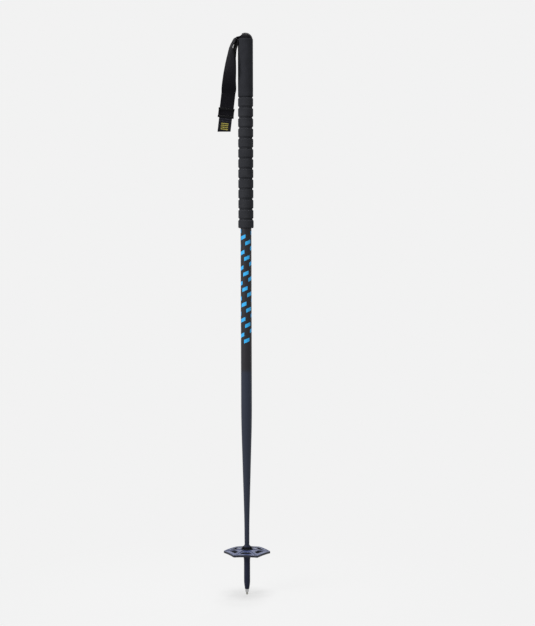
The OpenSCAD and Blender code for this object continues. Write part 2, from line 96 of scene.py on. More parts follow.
# Strap: webbing, its loop round the pin and flat stretch, and the tab sewn over its two ends
WEB_W = 26 * MM
WEB_NECK_W = 13.6 * MM
WEB_T = 1.6 * MM
LOOP_MID = 2.65 * MM
STRAND_Y = 1.2 * MM
FLAT_OUT = 17.6 * MM
FLAT_DROP = 101 * MM
FLAT_L = 72 * MM
TAB_L = 25.4 * MM
TAB_W = 24 * MM
TAB_T = 0.9 * MM
TAB_IN = 2.05 * MM

# Rounded look of hard edges, and real rounding of the slider's edges
MOULDED_EDGE = 0.4 * MM
BASKET_EDGE = 0.5 * MM
TURNED_EDGE = 0.15 * MM
SLIDER_EDGE = 0.35 * MM


def shade(red, green, blue):
    """Linear colour of a shade given on the usual scale to 255."""
    parts = [c / 255 for c in (red, green, blue)]
    return (*[p / 12.92 if p < 0.04 else ((p + 0.055) / 1.055) ** 2.4 for p in parts], 1)


BACKDROP = shade(242, 242, 242)


class Nodes:
    """A node tree under construction."""

    def __init__(self, tree, prefix):
        self.tree = tree
        self.prefix = prefix

    def feed(self, socket, value):
        if isinstance(value, bpy.types.NodeSocket):
            self.tree.links.new(value, socket)
        else:
            socket.default_value = value

    def add(self, kind, inputs=None, **settings):
        node = self.tree.nodes.new(self.prefix + kind)
        for key, value in settings.items():
            setattr(node, key, value)
        for key, value in (inputs or {}).items():
            self.feed(node.inputs[key], value)
        return node

    def calc(self, operation, *values):
        node = self.tree.nodes.new("ShaderNodeMath")
        node.operation = operation
        for socket, value in zip(node.inputs, values):
            self.feed(socket, value)
        return node.outputs[0]


class Finish(Nodes):
    """A material whose shader takes colour, roughness and relief from its nodes."""

    def __init__(self, name, specular=0.5, metallic=0.0, sheen=0.0):
        self.material = bpy.data.materials.new(name)
        self.material.use_nodes = True
        super().__init__(self.material.node_tree, "ShaderNode")
        self.shader = self.tree.nodes["Principled BSDF"]
        self.shader.inputs["Specular IOR Level"].default_value = specular
        self.shader.inputs["Metallic"].default_value = metallic
        self.shader.inputs["Sheen Weight"].default_value = sheen
        self.coords = self.add("TexCoord")

    def stretched(self, scale):
        return self.add("Mapping", {"Vector": self.coords.outputs["Object"], "Scale": scale}).outputs[0]

    def noise(self, scale, detail=3.0, place=None):
        place = place or self.coords.outputs["Object"]
        return self.add("TexNoise", {"Vector": place, "Scale": scale, "Detail": detail}).outputs["Fac"]

    def cells(self, scale):
        place = self.coords.outputs["Object"]
        return self.add("TexVoronoi", {"Vector": place, "Scale": scale}).outputs["Distance"]

    def axis(self, name, source="Object"):
        return self.add("SeparateXYZ", {"Vector": self.coords.outputs[source]}).outputs[name]

    def facing_up(self):
        normal = self.add("NewGeometry").outputs["True Normal"]
        return self.add("SeparateXYZ", {"Vector": normal}).outputs["Z"]

    def ramp(self, factor, *stops):
        node = self.add("ValToRGB", {"Fac": factor})
        elements = node.color_ramp.elements
        while len(elements) < len(stops):
            elements.new(0.5)
        for element, (position, colour) in zip(elements, stops):
            element.position = position
            element.color = colour
        return node.outputs["Color"]

    def mix(self, factor, low, high):
        node = self.add("Mix", data_type="RGBA")
        for index, value in ((0, factor), (6, low), (7, high)):
            self.feed(node.inputs[index], value)
        return node.outputs[2]

    def spread(self, factor, low, high):
        return self.add("MapRange", {"Value": factor, "To Min": low, "To Max": high}).outputs["Result"]

    def step(self, value, low, high):
        node = self.add("MapRange", {"Value": value, "From Min": low, "From Max": high},
                        interpolation_type="SMOOTHSTEP")
        return node.outputs["Result"]

    def done(self, colour, roughness, height, relief, strength=1.0, edge=None):
        """Joins colour, roughness and a height field of the given relief in metres to the shader.

        An edge width rounds the look of the piece's hard edges."""
        self.feed(self.shader.inputs["Base Color"], colour)
        self.feed(self.shader.inputs["Roughness"], roughness)
        bump = self.add("Bump", {"Height": height, "Distance": relief, "Strength": strength})
        if edge:
            rounded = self.add("Bevel", {"Radius": edge}, samples=16)
            self.feed(bump.inputs["Normal"], rounded.outputs["Normal"])
        self.feed(self.shader.inputs["Normal"], bump.outputs["Normal"])
        return self.material


def foam_finish(name, dark, light):
    """Closed-cell foam: fine cells, faint mottling and slightly polished patches."""
    cell_scale, mottle_scale, patch_scale = 1500, 70, 35
    f = Finish(name, specular=0.06)
    cells = f.cells(cell_scale)
    mottle = f.noise(mottle_scale, detail=5)
    tone = f.mix(0.35, mottle, cells)
    colour = f.ramp(tone, (0.25, dark), (0.7, light))
    rough = f.spread(f.noise(patch_scale), 0.72, 0.95)
    height = f.calc("ADD", cells, f.calc("MULTIPLY", mottle, 0.6))
    return f.done(colour, rough, height, relief=0.12 * MM, strength=0.7)


def shaft_finish():
    """Satin coat over drawn alloy: black under the print, navy grey below it, with a drawn grain."""
    film_low, film_high = 0.418, 0.428
    grain_scale, flake_scale = (900, 900, 14), 2600
    f = Finish("shaft_satin_coat", specular=0.16)
    grain = f.noise(1, detail=4, place=f.stretched(grain_scale))
    flakes = f.noise(flake_scale, detail=1)
    film = f.step(f.axis("Z"), film_low, film_high)
    base = f.mix(film, shade(42, 47, 60), shade(38, 37, 41))
    lighter = f.mix(film, shade(52, 57, 71), shade(50, 49, 53))
    colour = f.mix(f.mix(0.5, grain, flakes), base, lighter)
    return f.done(colour, f.spread(grain, 0.36, 0.52), grain, relief=0.04 * MM, strength=0.5)


def ink_finish():
    """Screen-printed ink with a faint uneven lay."""
    lay_scale = 420
    f = Finish("shaft_blue_ink", specular=0.35)
    lay = f.noise(lay_scale, detail=4)
    colour = f.ramp(lay, (0.3, shade(46, 175, 247)), (0.7, shade(60, 191, 255)))
    return f.done(colour, f.spread(lay, 0.38, 0.55), lay, relief=0.02 * MM, strength=0.5)


def woven(f, ribs, ends):
    """Height of a ribbed weave on the piece's own map, which is in metres across and along."""
    across = f.calc("SINE", f.calc("MULTIPLY", f.axis("X", "UV"), math.tau / ends))
    along = f.calc("SINE", f.calc("MULTIPLY", f.axis("Y", "UV"), math.tau / ribs))
    crossed = f.calc("MULTIPLY", across, along)
    return f.calc("ADD", f.calc("MULTIPLY", along, 0.3), f.calc("MULTIPLY", crossed, 0.35))


def webbing_finish():
    """Black polyester webbing: cross ribs, a little fuzz, and painted light and shade on the weave, paler on
    the thread crowns and darker in the hollows.
    """
    rib_pitch, end_pitch, fuzz_scale = 1.15 * MM, 1.5 * MM, 900
    f = Finish("strap_woven_polyester", specular=0.06, sheen=0.03)
    weave = woven(f, rib_pitch, end_pitch)
    fuzz = f.noise(fuzz_scale, detail=4)
    # Painted light and shade: the weave's crowns are painted paler and its hollows darker, with random fuzz
    # on top.
    tone = f.calc("ADD", f.calc("MULTIPLY", weave, 0.55), fuzz)
    colour = f.ramp(tone, (0.15, shade(11, 11, 14)), (0.6, shade(21, 20, 25)), (1.0, shade(34, 33, 38)))
    height = f.calc("ADD", weave, f.calc("MULTIPLY", fuzz, 0.4))
    return f.done(colour, f.spread(fuzz, 0.7, 0.95), height, relief=0.25 * MM)


def tab_finish():
    """Fine damask of the tab, black with plain gold bars woven into its middle."""
    rib_pitch, end_pitch, fuzz_scale = 0.5 * MM, 0.6 * MM, 1200
    bar_half, first_bar, bar_pitch, bars = 6.6 * MM, 9.6 * MM, 3.5 * MM, 4
    bar_share = 0.52
    f = Finish("tab_woven_damask", specular=0.08, sheen=0.03)
    weave = woven(f, rib_pitch, end_pitch)
    fuzz = f.noise(fuzz_scale)
    across = f.calc("ABSOLUTE", f.axis("X", "UV"))
    down = f.axis("Y", "UV")
    row = f.calc("DIVIDE", f.calc("SUBTRACT", down, first_bar), bar_pitch)
    in_bar = f.calc("LESS_THAN", f.calc("FRACT", row), bar_share)
    in_rows = f.calc("MULTIPLY", f.calc("GREATER_THAN", row, 0), f.calc("LESS_THAN", row, bars))
    inside = f.calc("LESS_THAN", across, bar_half)
    gold = f.calc("MULTIPLY", f.calc("MULTIPLY", in_bar, in_rows), inside)
    # Painted light and shade: the weave's crowns are painted paler and its hollows darker, with random fuzz
    # on top.
    tone = f.calc("ADD", f.calc("MULTIPLY", weave, 0.5), fuzz)
    black = f.ramp(tone, (0.2, shade(15, 15, 20)), (0.9, shade(36, 36, 44)))
    yellow = f.ramp(tone, (0.2, shade(128, 120, 50)), (0.9, shade(212, 200, 106)))
    height = f.calc("ADD", weave, f.calc("MULTIPLY", gold, 0.8))
    return f.done(f.mix(gold, black, yellow), f.spread(fuzz, 0.6, 0.9), height, relief=0.12 * MM)


def thread_finish():
    """Twisted sewing thread."""
    twist_scale = 2400
    f = Finish("sewing_thread", specular=0.3, sheen=0.1)
    twist = f.noise(twist_scale, detail=2)
    colour = f.ramp(twist, (0.3, shade(58, 58, 66)), (0.7, shade(92, 92, 102)))
    return f.done(colour, f.spread(twist, 0.5, 0.75), twist, relief=0.06 * MM)


def moulded_grain(f):
    """Fine spark-eroded grain, soft cloudy gloss, and the tone that both give."""
    grain_scale, cloud_scale, grain_share = 1100, 90, 0.4
    grain = f.noise(grain_scale, detail=4)
    cloud = f.noise(cloud_scale)
    return grain, cloud, f.mix(grain_share, cloud, grain)


def moulded_finish(name, dark, light, rough_low, rough_high, specular):
    """Moulded plastic or rubber."""
    f = Finish(name, specular=specular)
    grain, cloud, tone = moulded_grain(f)
    colour = f.ramp(tone, (0.3, dark), (0.7, light))
    rough = f.spread(cloud, rough_low, rough_high)
    return f.done(colour, rough, grain, relief=0.06 * MM, strength=0.6, edge=MOULDED_EDGE)


def basket_finish():
    """Moulded basket: faces turned up are painted pale as if lit from above, and the side faces round the
    edge and the windows are painted dark as shade; the upper faces are hazy, the side faces matt.
    """
    wall_matt = 0.25
    f = Finish("basket_plastic", specular=0.4)
    grain, cloud, tone = moulded_grain(f)
    # Painted light and shade by facing: faces turned up get a pale lit colour, the side faces a dark shaded
    # colour.
    upper = f.step(f.facing_up(), 0.4, 0.9)
    shaded_wall_colour = f.ramp(tone, (0.3, shade(17, 19, 30)), (0.7, shade(26, 29, 42)))
    lit_top_colour = f.ramp(tone, (0.3, shade(49, 58, 90)), (0.7, shade(61, 70, 104)))
    haze = f.spread(cloud, 0.24, 0.32)
    rough = f.calc("ADD", haze, f.calc("MULTIPLY", f.calc("SUBTRACT", 1.0, upper), wall_matt))
    # The colour mixes the painted shade of the side faces with the painted light of the upper faces.
    colour = f.mix(upper, shaded_wall_colour, lit_top_colour)
    return f.done(colour, rough, grain, relief=0.06 * MM, strength=0.6, edge=BASKET_EDGE)


def turned_finish(name, dark, light, ring, rough_low, rough_high):
    """Turned metal: fine rings round the shaft's axis and a cloudy polish."""
    cloud_scale = 700
    f = Finish(name, metallic=1.0)
    rings = f.calc("SINE", f.calc("MULTIPLY", f.axis("Z"), math.tau / ring))
    cloud = f.noise(cloud_scale, detail=4)
    colour = f.ramp(cloud, (0.3, dark), (0.7, light))
    rough = f.spread(cloud, rough_low, rough_high)
    height = f.calc("ADD", f.calc("MULTIPLY", rings, 0.5), cloud)
    return f.done(colour, rough, height, relief=0.04 * MM, strength=0.6, edge=TURNED_EDGE)


def link_piece(name, mesh):
    piece = bpy.data.objects.new(name, mesh)
    scene.collection.objects.link(piece)
    return piece


def plain(piece):
    """Turns a piece's modifiers into a plain mesh."""
    bpy.context.view_layer.update()
    graph = bpy.context.evaluated_depsgraph_get()
    mesh = bpy.data.meshes.new_from_object(piece.evaluated_get(graph))
    mesh.name = piece.name
    piece.modifiers.clear()
    piece.data = mesh
    return piece


def smooth(piece, angle=35):
    """Shades a piece smooth, but for edges sharper than the angle in degrees."""
    piece.data.shade_smooth()
    piece.data.set_sharp_from_angle(angle=math.radians(angle))
    return piece


def face_out(piece):
    """Turns a closed mesh's faces outwards."""
    shape = bmesh.new()
    shape.from_mesh(piece.data)
    bmesh.ops.recalc_face_normals(shape, faces=shape.faces)
    shape.to_mesh(piece.data)
    shape.free()


def dress(piece, material, body, slot, *stands_for):
    """Gives a new piece its finish, its body and the nodes that it stands for; its slot is not used."""
    piece.data.materials.clear()
    piece.data.materials.append(material)
    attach(piece, body)
    if stands_for:
        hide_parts(*stands_for)
    return piece


def paint(node, material):
    """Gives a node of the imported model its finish."""
    mesh = nodes[node].data
    mesh.materials.clear()
    mesh.materials.append(material)


def lathe(name, profile, segments):
    """A closed ring of revolution from a closed profile of (radius, height) points."""
    mesh = bpy.data.meshes.new(name)
    shape = bmesh.new()
    turns = [math.tau * i / segments for i in range(segments)]
    rings = [[shape.verts.new((r * math.cos(a), r * math.sin(a), z)) for r, z in profile] for a in turns]
    count = len(profile)
    for i in range(segments):
        here, there = rings[i], rings[(i + 1) % segments]
        for k in range(count):
            n = (k + 1) % count
            shape.faces.new((here[k], there[k], there[n], here[n]))
    bmesh.ops.recalc_face_normals(shape, faces=shape.faces)
    shape.to_mesh(mesh)
    shape.free()
    return link_piece(name, mesh)


class Build(Nodes):
    """A geometry node tree with named sizes, which becomes a plain mesh."""

    def __init__(self, name):
        super().__init__(bpy.data.node_groups.new(name, "GeometryNodeTree"), "GeometryNode")
        interface = self.tree.interface
        interface.new_socket("Geometry", in_out="INPUT", socket_type="NodeSocketGeometry")
        interface.new_socket("Geometry", in_out="OUTPUT", socket_type="NodeSocketGeometry")
        self.entry = self.tree.nodes.new("NodeGroupInput")
        self.sizes = {}

    def size(self, name, value):
        kind = "NodeSocketInt" if isinstance(value, int) else "NodeSocketFloat"
        socket = self.tree.interface.new_socket(name, in_out="INPUT", socket_type=kind)
        self.sizes[socket.identifier] = value
        return self.entry.outputs[name]

    def combined(self, x, y, z):
        node = self.tree.nodes.new("ShaderNodeCombineXYZ")
        for socket, value in zip(node.inputs, (x, y, z)):
            self.feed(socket, value)
        return node.outputs[0]

    def parts_of(self, vector):
        node = self.tree.nodes.new("ShaderNodeSeparateXYZ")
        self.feed(node.inputs[0], vector)
        return node.outputs

    def position(self):
        return self.add("InputPosition").outputs[0]

    def made(self, name, geometry, material, start=None):
        """Runs the tree on a start mesh and keeps the result as a plain mesh."""
        real = self.add("RealizeInstances", {"Geometry": geometry}).outputs[0]
        painted = self.add("SetMaterial", {"Geometry": real, "Material": material}).outputs[0]
        exit_node = self.tree.nodes.new("NodeGroupOutput")
        self.feed(exit_node.inputs["Geometry"], painted)
        piece = link_piece(name, start or bpy.data.meshes.new(name + "_start"))
        modifier = piece.modifiers.new("build", "NODES")
        modifier.node_group = self.tree
        for identifier, value in self.sizes.items():
            modifier[identifier] = value
        return plain(piece)


def wall_of(node):
    """Outer and inner outline of a round node that narrows upwards.

    Both are lists of (radius, height) points from the bottom."""
    digits = 5
    outer, inner = set(), set()
    for vertex in nodes[node].data.vertices:
        side = vertex.co.xy
        faces_out = side.dot(vertex.normal.xy) > 0
        (outer if faces_out else inner).add((-round(side.length, digits), round(vertex.co.z, digits)))
    return [[(-r, z) for r, z in sorted(wall, key=lambda p: (p[1], p[0]))] for wall in (outer, inner)]


def shaft_piece():
    outer, inner = wall_of("shaft_tube")
    piece = lathe("shaft_coated_tube", outer + inner[::-1], SHAFT_AROUND)
    return dress(smooth(piece), shaft_finish(), "pole", "shaft_alloy", "shaft_tube")


def dash_patch():
    """One slanted dash wrapped on the shaft, as a thin closed skin round the front of the axis."""
    columns, rows = 12, 3
    shape = bmesh.new()
    layers = []
    for radius in (shaft_r + DASH_PROUD, shaft_r - DASH_PROUD):
        grid = []
        for i in range(columns + 1):
            share = i / columns - 0.5
            turn = share * DASH_W / shaft_r
            lift = share * DASH_SLANT * 2
            x, y = radius * math.cos(turn), radius * math.sin(turn)
            heights = [lift + DASH_H * (j / rows - 0.5) for j in range(rows + 1)]
            grid.append([shape.verts.new((x, y, z)) for z in heights])
        layers.append(grid)
    for grid in layers:
        for i in range(columns):
            for j in range(rows):
                shape.faces.new((grid[i][j], grid[i + 1][j], grid[i + 1][j + 1], grid[i][j + 1]))
    rims = []
    for grid in layers:
        rim = [grid[i][0] for i in range(columns + 1)]
        rim += [grid[columns][j] for j in range(1, rows + 1)]
        rim += [grid[i][rows] for i in range(columns - 1, -1, -1)]
        rim += [grid[0][j] for j in range(rows - 1, 0, -1)]
        rims.append(rim)
    outer, inner = rims
    for k in range(len(outer)):
        n = (k + 1) % len(outer)
        shape.faces.new((outer[k], inner[k], inner[n], outer[n]))
    bmesh.ops.recalc_face_normals(shape, faces=shape.faces)
    mesh = bpy.data.meshes.new("dash_patch")
    shape.to_mesh(mesh)
    shape.free()
    return mesh


def print_piece():
    """Dashes on two spirals, half a turn apart, going down the bare shaft from the foam."""
    b = Build("dash_spiral")
    levels = b.size("Levels", DASH_LEVELS)
    rise = b.size("Rise", DASH_RISE)
    turn = b.size("Turn", DASH_TURN)
    top = b.size("Top Height", DASH_TOP_Z)
    points = b.add("Points", {"Count": b.calc("MULTIPLY", levels, 2.0)}).outputs[0]
    index = b.add("InputIndex").outputs[0]
    level = b.calc("FLOOR", b.calc("DIVIDE", index, 2.0))
    side = b.calc("MODULO", index, 2.0)
    height = b.calc("SUBTRACT", top, b.calc("MULTIPLY", level, rise))
    angle = b.calc("ADD", b.calc("MULTIPLY", level, turn), b.calc("MULTIPLY", side, math.pi))
    placed = b.add("SetPosition", {"Geometry": points, "Position": b.combined(0.0, 0.0, height)}).outputs[0]
    turned = b.add("InstanceOnPoints", {"Points": placed, "Instance": b.entry.outputs["Geometry"],
                                        "Rotation": b.combined(0.0, 0.0, angle)}).outputs[0]
    ink = ink_finish()
    piece = b.made("shaft_blue_dashes", turned, ink, dash_patch())
    return dress(smooth(piece), ink, "pole", "shaft_alloy")


def extension_piece(material):
    """The grooved foam: a rolled grid whose radius follows the grooves, the foot band and its round edge."""
    along = 460
    rows = along + 3
    b = Build("grooved_foam")
    radius = b.size("Radius", grip_r)
    bore = b.size("Bore", foam_bore)
    low = b.size("Low End", foam_low.z)
    length = b.size("Length", foam_high.z - foam_low.z)
    pitch = b.size("Groove Pitch", GROOVE_PITCH)
    half = b.size("Groove Half Width", GROOVE_HALF)
    deep = b.size("Groove Depth", GROOVE_DEEP)
    soft = b.size("Groove Softness", GROOVE_SOFT)
    bulge = b.size("Foot Bulge", foam_high.x - grip_r)
    foot = b.size("Foot Height", FOOT_H)
    rounding = b.size("Foot Round", FOOT_ROUND)
    grid = b.add("MeshGrid", {"Size X": math.tau, "Size Y": float(rows), "Vertices X": FOAM_AROUND + 1,
                              "Vertices Y": rows + 1}).outputs["Mesh"]
    flat = b.parts_of(b.position())
    angle = flat[0]
    row = b.calc("ADD", flat[1], rows / 2)
    share = b.calc("DIVIDE", b.calc("SUBTRACT", row, 1.0), float(along))
    rise = b.calc("MULTIPLY", b.calc("MINIMUM", b.calc("MAXIMUM", share, 0.0), 1.0), length)
    drop = b.calc("SUBTRACT", length, rise)

    # Round grooves at every pitch from the top, with soft edges
    nearest = b.calc("MULTIPLY", pitch, b.calc("ROUND", b.calc("DIVIDE", drop, pitch)))
    from_groove = b.calc("ABSOLUTE", b.calc("SUBTRACT", drop, nearest))
    squares = b.calc("ADD", b.calc("MULTIPLY", half, half), b.calc("MULTIPLY", deep, deep))
    arc = b.calc("DIVIDE", squares, b.calc("MULTIPLY", deep, 2.0))
    under = b.calc("SUBTRACT", b.calc("MULTIPLY", arc, arc), b.calc("MULTIPLY", from_groove, from_groove))
    sunk = b.calc("SUBTRACT", b.calc("SQRT", b.calc("MAXIMUM", under, 0.0)), b.calc("SUBTRACT", arc, deep))
    cut = b.calc("SMOOTH_MAX", sunk, 0.0, soft)

    # Foot band and its round lower edge
    band = b.calc("MULTIPLY", bulge, b.calc("LESS_THAN", rise, foot))
    short = b.calc("MAXIMUM", b.calc("SUBTRACT", rounding, rise), 0.0)
    chord = b.calc("SUBTRACT", b.calc("MULTIPLY", rounding, rounding), b.calc("MULTIPLY", short, short))
    edge = b.calc("SUBTRACT", rounding, b.calc("SQRT", b.calc("MAXIMUM", chord, 0.0)))
    outside = b.calc("SUBTRACT", b.calc("ADD", radius, band), b.calc("ADD", cut, edge))

    # The first row and the last two lie on the bore, and the very last meets the first
    inner_row = b.calc("MAXIMUM", b.calc("LESS_THAN", row, 0.5), b.calc("GREATER_THAN", row, along + 1.5))
    span = b.calc("MULTIPLY", inner_row, b.calc("SUBTRACT", bore, outside))
    reach = b.calc("ADD", outside, span)
    closing = b.calc("LESS_THAN", row, along + 2.5)
    height = b.calc("ADD", low, b.calc("MULTIPLY", rise, closing))
    place = b.combined(b.calc("MULTIPLY", reach, b.calc("COSINE", angle)),
                       b.calc("MULTIPLY", reach, b.calc("SINE", angle)), height)
    rolled = b.add("SetPosition", {"Geometry": grid, "Position": place}).outputs[0]
    joined = b.add("MergeByDistance", {"Geometry": rolled, "Distance": MERGE_REACH}).outputs[0]
    piece = b.made("foam_grooved_extension", joined, material)
    face_out(piece)
    dress(smooth(piece, angle=50), material, "pole", "extension_foam", "grip_extension")
    return piece


def handle_piece(material):
    """The smooth foam handle, with the mouth that the strap leaves through."""
    lip, shoulder, steps, side_rows = GROOVE_HALF, 0.8 * MM, 8, 24
    mouth_w, mouth_drop = 15.6 * MM, 4.6 * MM
    low, high = handle_low.z, handle_high.z
    side_h = high - shoulder - lip - low
    quarter = [math.pi / 2 * i / steps for i in range(steps + 1)]
    lower = [(grip_r - GROOVE_DEEP * (1 - math.sin(a)), low + lip * (1 - math.cos(a))) for a in quarter]
    upper = [(grip_r - shoulder * (1 - math.cos(a)), high - shoulder * (1 - math.sin(a))) for a in quarter]
    side = [(grip_r, low + lip + side_h * i / side_rows) for i in range(1, side_rows)]
    profile = [(foam_bore, low)] + lower + side + upper + [(foam_bore, high)]
    piece = lathe("foam_smooth_handle", profile, FOAM_AROUND)
    cutter = bpy.data.meshes.new("mouth_cutter")
    shape = bmesh.new()
    bmesh.ops.create_cube(shape, size=1)
    bmesh.ops.scale(shape, vec=(2 * grip_r, mouth_w, 2 * mouth_drop), verts=shape.verts)
    bmesh.ops.translate(shape, vec=(-grip_r, 0, pin.z), verts=shape.verts)
    shape.to_mesh(cutter)
    shape.free()
    block = link_piece("mouth_cutter", cutter)
    boolean = piece.modifiers.new("mouth", "BOOLEAN")
    boolean.object = block
    boolean.operation = "DIFFERENCE"
    plain(piece)
    bpy.data.objects.remove(block)
    dress(smooth(piece, angle=40), material, "pole", "handle_foam", "handle_sleeve")
    return piece


# Strap stations from the pin out: distance out from the grip, depth and drop below the pin in millimetres,
# turn in degrees, and share of the way from the folded width to the full width
OUTER_RUN = [
    (-1.2, 0, -1.2, 6, 0.04), (3.9, 0, 0.2, 18, 0.25), (8.0, 0, 7.4, 22, 0.45), (10.6, -0.4, 11.6, 17, 0.65),
    (13.5, -1.4, 20.5, 17.5, 0.85), (14.1, -3.8, 32.5, 29, 1), (14.4, -7.2, 46.5, 43.5, 1),
    (15, -9.6, 62.5, 58.5, 1), (16.1, -7.6, 79.5, 74, 1), (17.4, -3.4, 93.5, 89, 1)]
INNER_RUN = [
    (0.8, 0, 1.3, 14, 0.04), (2.2, 0, 3.4, 22, 0.25), (3.9, 0, 13.2, 23, 0.5), (6.1, 1, 22.2, 20, 0.75),
    (7.7, 2.8, 30.5, 23, 0.9), (10, 5.2, 39, 33, 1), (12.5, 8.2, 50.5, 46.5, 1),
    (14.6, 9.8, 64.5, 60.5, 1), (16.3, 7.8, 79.5, 75, 1), (16.2, 3.4, 93.5, 89, 1)]
FLAT_START = Vector((-grip_r - FLAT_OUT, 0, pin.z - FLAT_DROP))


def station(out, depth, drop, turn, full):
    place = Vector((-grip_r - out * MM, depth * MM, pin.z - drop * MM))
    return place, turn, WEB_NECK_W + (WEB_W - WEB_NECK_W) * full


def flat_station(down, depth, width=WEB_W):
    return FLAT_START + Vector((0, depth, 0)) - up_strap * down, 90, width


def loop_station(angle, slide=0.0):
    turn = math.radians(angle)
    return pin + Vector((LOOP_MID * math.cos(turn) + slide, 0, LOOP_MID * math.sin(turn))), 0, WEB_NECK_W


def eased(stations, steps):
    """Stations on a smooth run through all but the first and last, up to just short of its end."""
    found = []
    for i in range(1, len(stations) - 2):
        for j in range(steps):
            t = j / steps
            weights = (-0.5 * t + t * t - 0.5 * t ** 3, 1 - 2.5 * t * t + 1.5 * t ** 3,
                       0.5 * t + 2 * t * t - 1.5 * t ** 3, -0.5 * t * t + 0.5 * t ** 3)
            near = list(zip(weights, stations[i - 1:i + 3]))
            place = sum((s[0] * w for w, s in near), Vector())
            found.append((place, sum(s[1] * w for w, s in near), sum(s[2] * w for w, s in near)))
    return found


def strip_stations():
    """The webbing from the end of its outer strand, up round the pin and down to the end of the inner one."""
    guide, narrow = 8 * MM, 4 * MM
    run_steps, flat_steps, tail_steps, loop_step = 14, 30, 12, 9
    tab_top = FLAT_L - TAB_L
    tail_w = TAB_W - 2 * TAB_T
    end = FLAT_L - TAB_IN - TAB_T

    def flat_run(depth):
        upper = [flat_station((tab_top - narrow) * i / flat_steps, depth) for i in range(flat_steps + 1)]
        downs = [tab_top + (end - tab_top) * i / tail_steps for i in range(tail_steps + 1)]
        return upper + [flat_station(down, depth, tail_w) for down in downs]

    def strand(run, angle, depth):
        head = [loop_station(angle, guide), loop_station(angle)]
        return head + [station(*s) for s in run] + [flat_station(0, depth), flat_station(guide, depth)]

    outer = flat_run(-STRAND_Y)[:0:-1] + eased(strand(OUTER_RUN, 90, -STRAND_Y)[::-1], run_steps)
    loop = [loop_station(90 - loop_step * i) for i in range(180 // loop_step)]
    inner = eased(strand(INNER_RUN, -90, STRAND_Y), run_steps) + flat_run(STRAND_Y)
    return outer + loop + inner


def swept_strip(name, frames, outline, full_width):
    """A closed strip with a ring of outline points at each frame, and a map in metres across and along it."""
    mesh = bpy.data.meshes.new(name)
    shape = bmesh.new()
    layer = shape.loops.layers.uv.new("weave")
    rings, spots, travelled = [], {}, 0.0
    for n, (place, across, out, width) in enumerate(frames):
        if n:
            travelled += (place - frames[n - 1][0]).length
        ring = []
        for share, lift in outline:
            vertex = shape.verts.new(place + across * share * width + out * lift)
            spots[vertex] = (share * full_width, travelled)
            ring.append(vertex)
        rings.append(ring)
    count = len(outline)
    for here, there in zip(rings, rings[1:]):
        for k in range(count):
            n = (k + 1) % count
            shape.faces.new((here[k], here[n], there[n], there[k]))
    shape.faces.new(rings[0][::-1])
    shape.faces.new(rings[-1])
    for face in shape.faces:
        for loop in face.loops:
            loop[layer].uv = spots[loop.vert]
    bmesh.ops.recalc_face_normals(shape, faces=shape.faces)
    shape.to_mesh(mesh)
    shape.free()
    return link_piece(name, mesh), travelled


def band_outline(width, thickness, slack):
    """Section of a woven band: round thick edges and a slightly thinner middle."""
    thick_from, round_steps = 0.4, 6
    half = thickness / 2
    edge = 0.5 - half / width
    flats = [-edge, -0.43, -0.38, -0.2, 0.0, 0.2, 0.38, 0.43, edge]
    lifts = [half if abs(s) > thick_from else half * (1 - slack) for s in flats]
    top = list(zip(flats, lifts))
    turns = [math.pi / 2 - math.pi * i / round_steps for i in range(1, round_steps)]
    right = [(edge + half / width * math.cos(a), half * math.sin(a)) for a in turns]
    return top + right + [(s, -h) for s, h in top[::-1]] + [(-s, -h) for s, h in right]


def frames_of(stations):
    """Turns stations into frames: place, unit vectors across and out of the band, and width."""
    frames = []
    last = len(stations) - 1
    for i, (place, turn, width) in enumerate(stations):
        along = (stations[min(i + 1, last)][0] - stations[max(i - 1, 0)][0]).normalized()
        a = math.radians(turn)
        aim = Vector((math.sin(a), -math.cos(a), 0))
        across = (aim - along * aim.dot(along)).normalized()
        frames.append((place, across, along.cross(across).normalized(), width))
    return frames


def strap_piece():
    frames = frames_of(strip_stations())
    outline = band_outline(WEB_W, WEB_T, slack=0.12)
    piece, length = swept_strip("strap_woven_webbing", frames, outline, WEB_W)
    dress(smooth(piece, angle=60), webbing_finish(), "strap", "strap_webbing", "strap_webbing")
    return piece


def tab_stations():
    """The tab's strip: down the front leaf, round the fold and up the back leaf."""
    leaf_steps, fold_steps = 24, 18
    mid = TAB_IN + TAB_T / 2
    top, turn = FLAT_L - TAB_L, FLAT_L - TAB_IN - TAB_T
    downs = [top + (turn - top) * i / leaf_steps for i in range(leaf_steps + 1)]
    bends = [math.pi * i / fold_steps for i in range(1, fold_steps)]
    rows = [(-mid, d) for d in downs]
    rows += [(-mid * math.cos(a), turn + mid * math.sin(a)) for a in bends]
    rows += [(mid, d) for d in downs[::-1]]
    return [flat_station(d, y, TAB_W) for y, d in rows]


def tab_piece():
    frames = frames_of(tab_stations())
    outline = band_outline(TAB_W, TAB_T, slack=0.1)
    piece, length = swept_strip("strap_folded_tab", frames, outline, TAB_W)
    dress(smooth(piece, angle=60), tab_finish(), "strap", "tab_fabric", "strap_tab")
    return piece


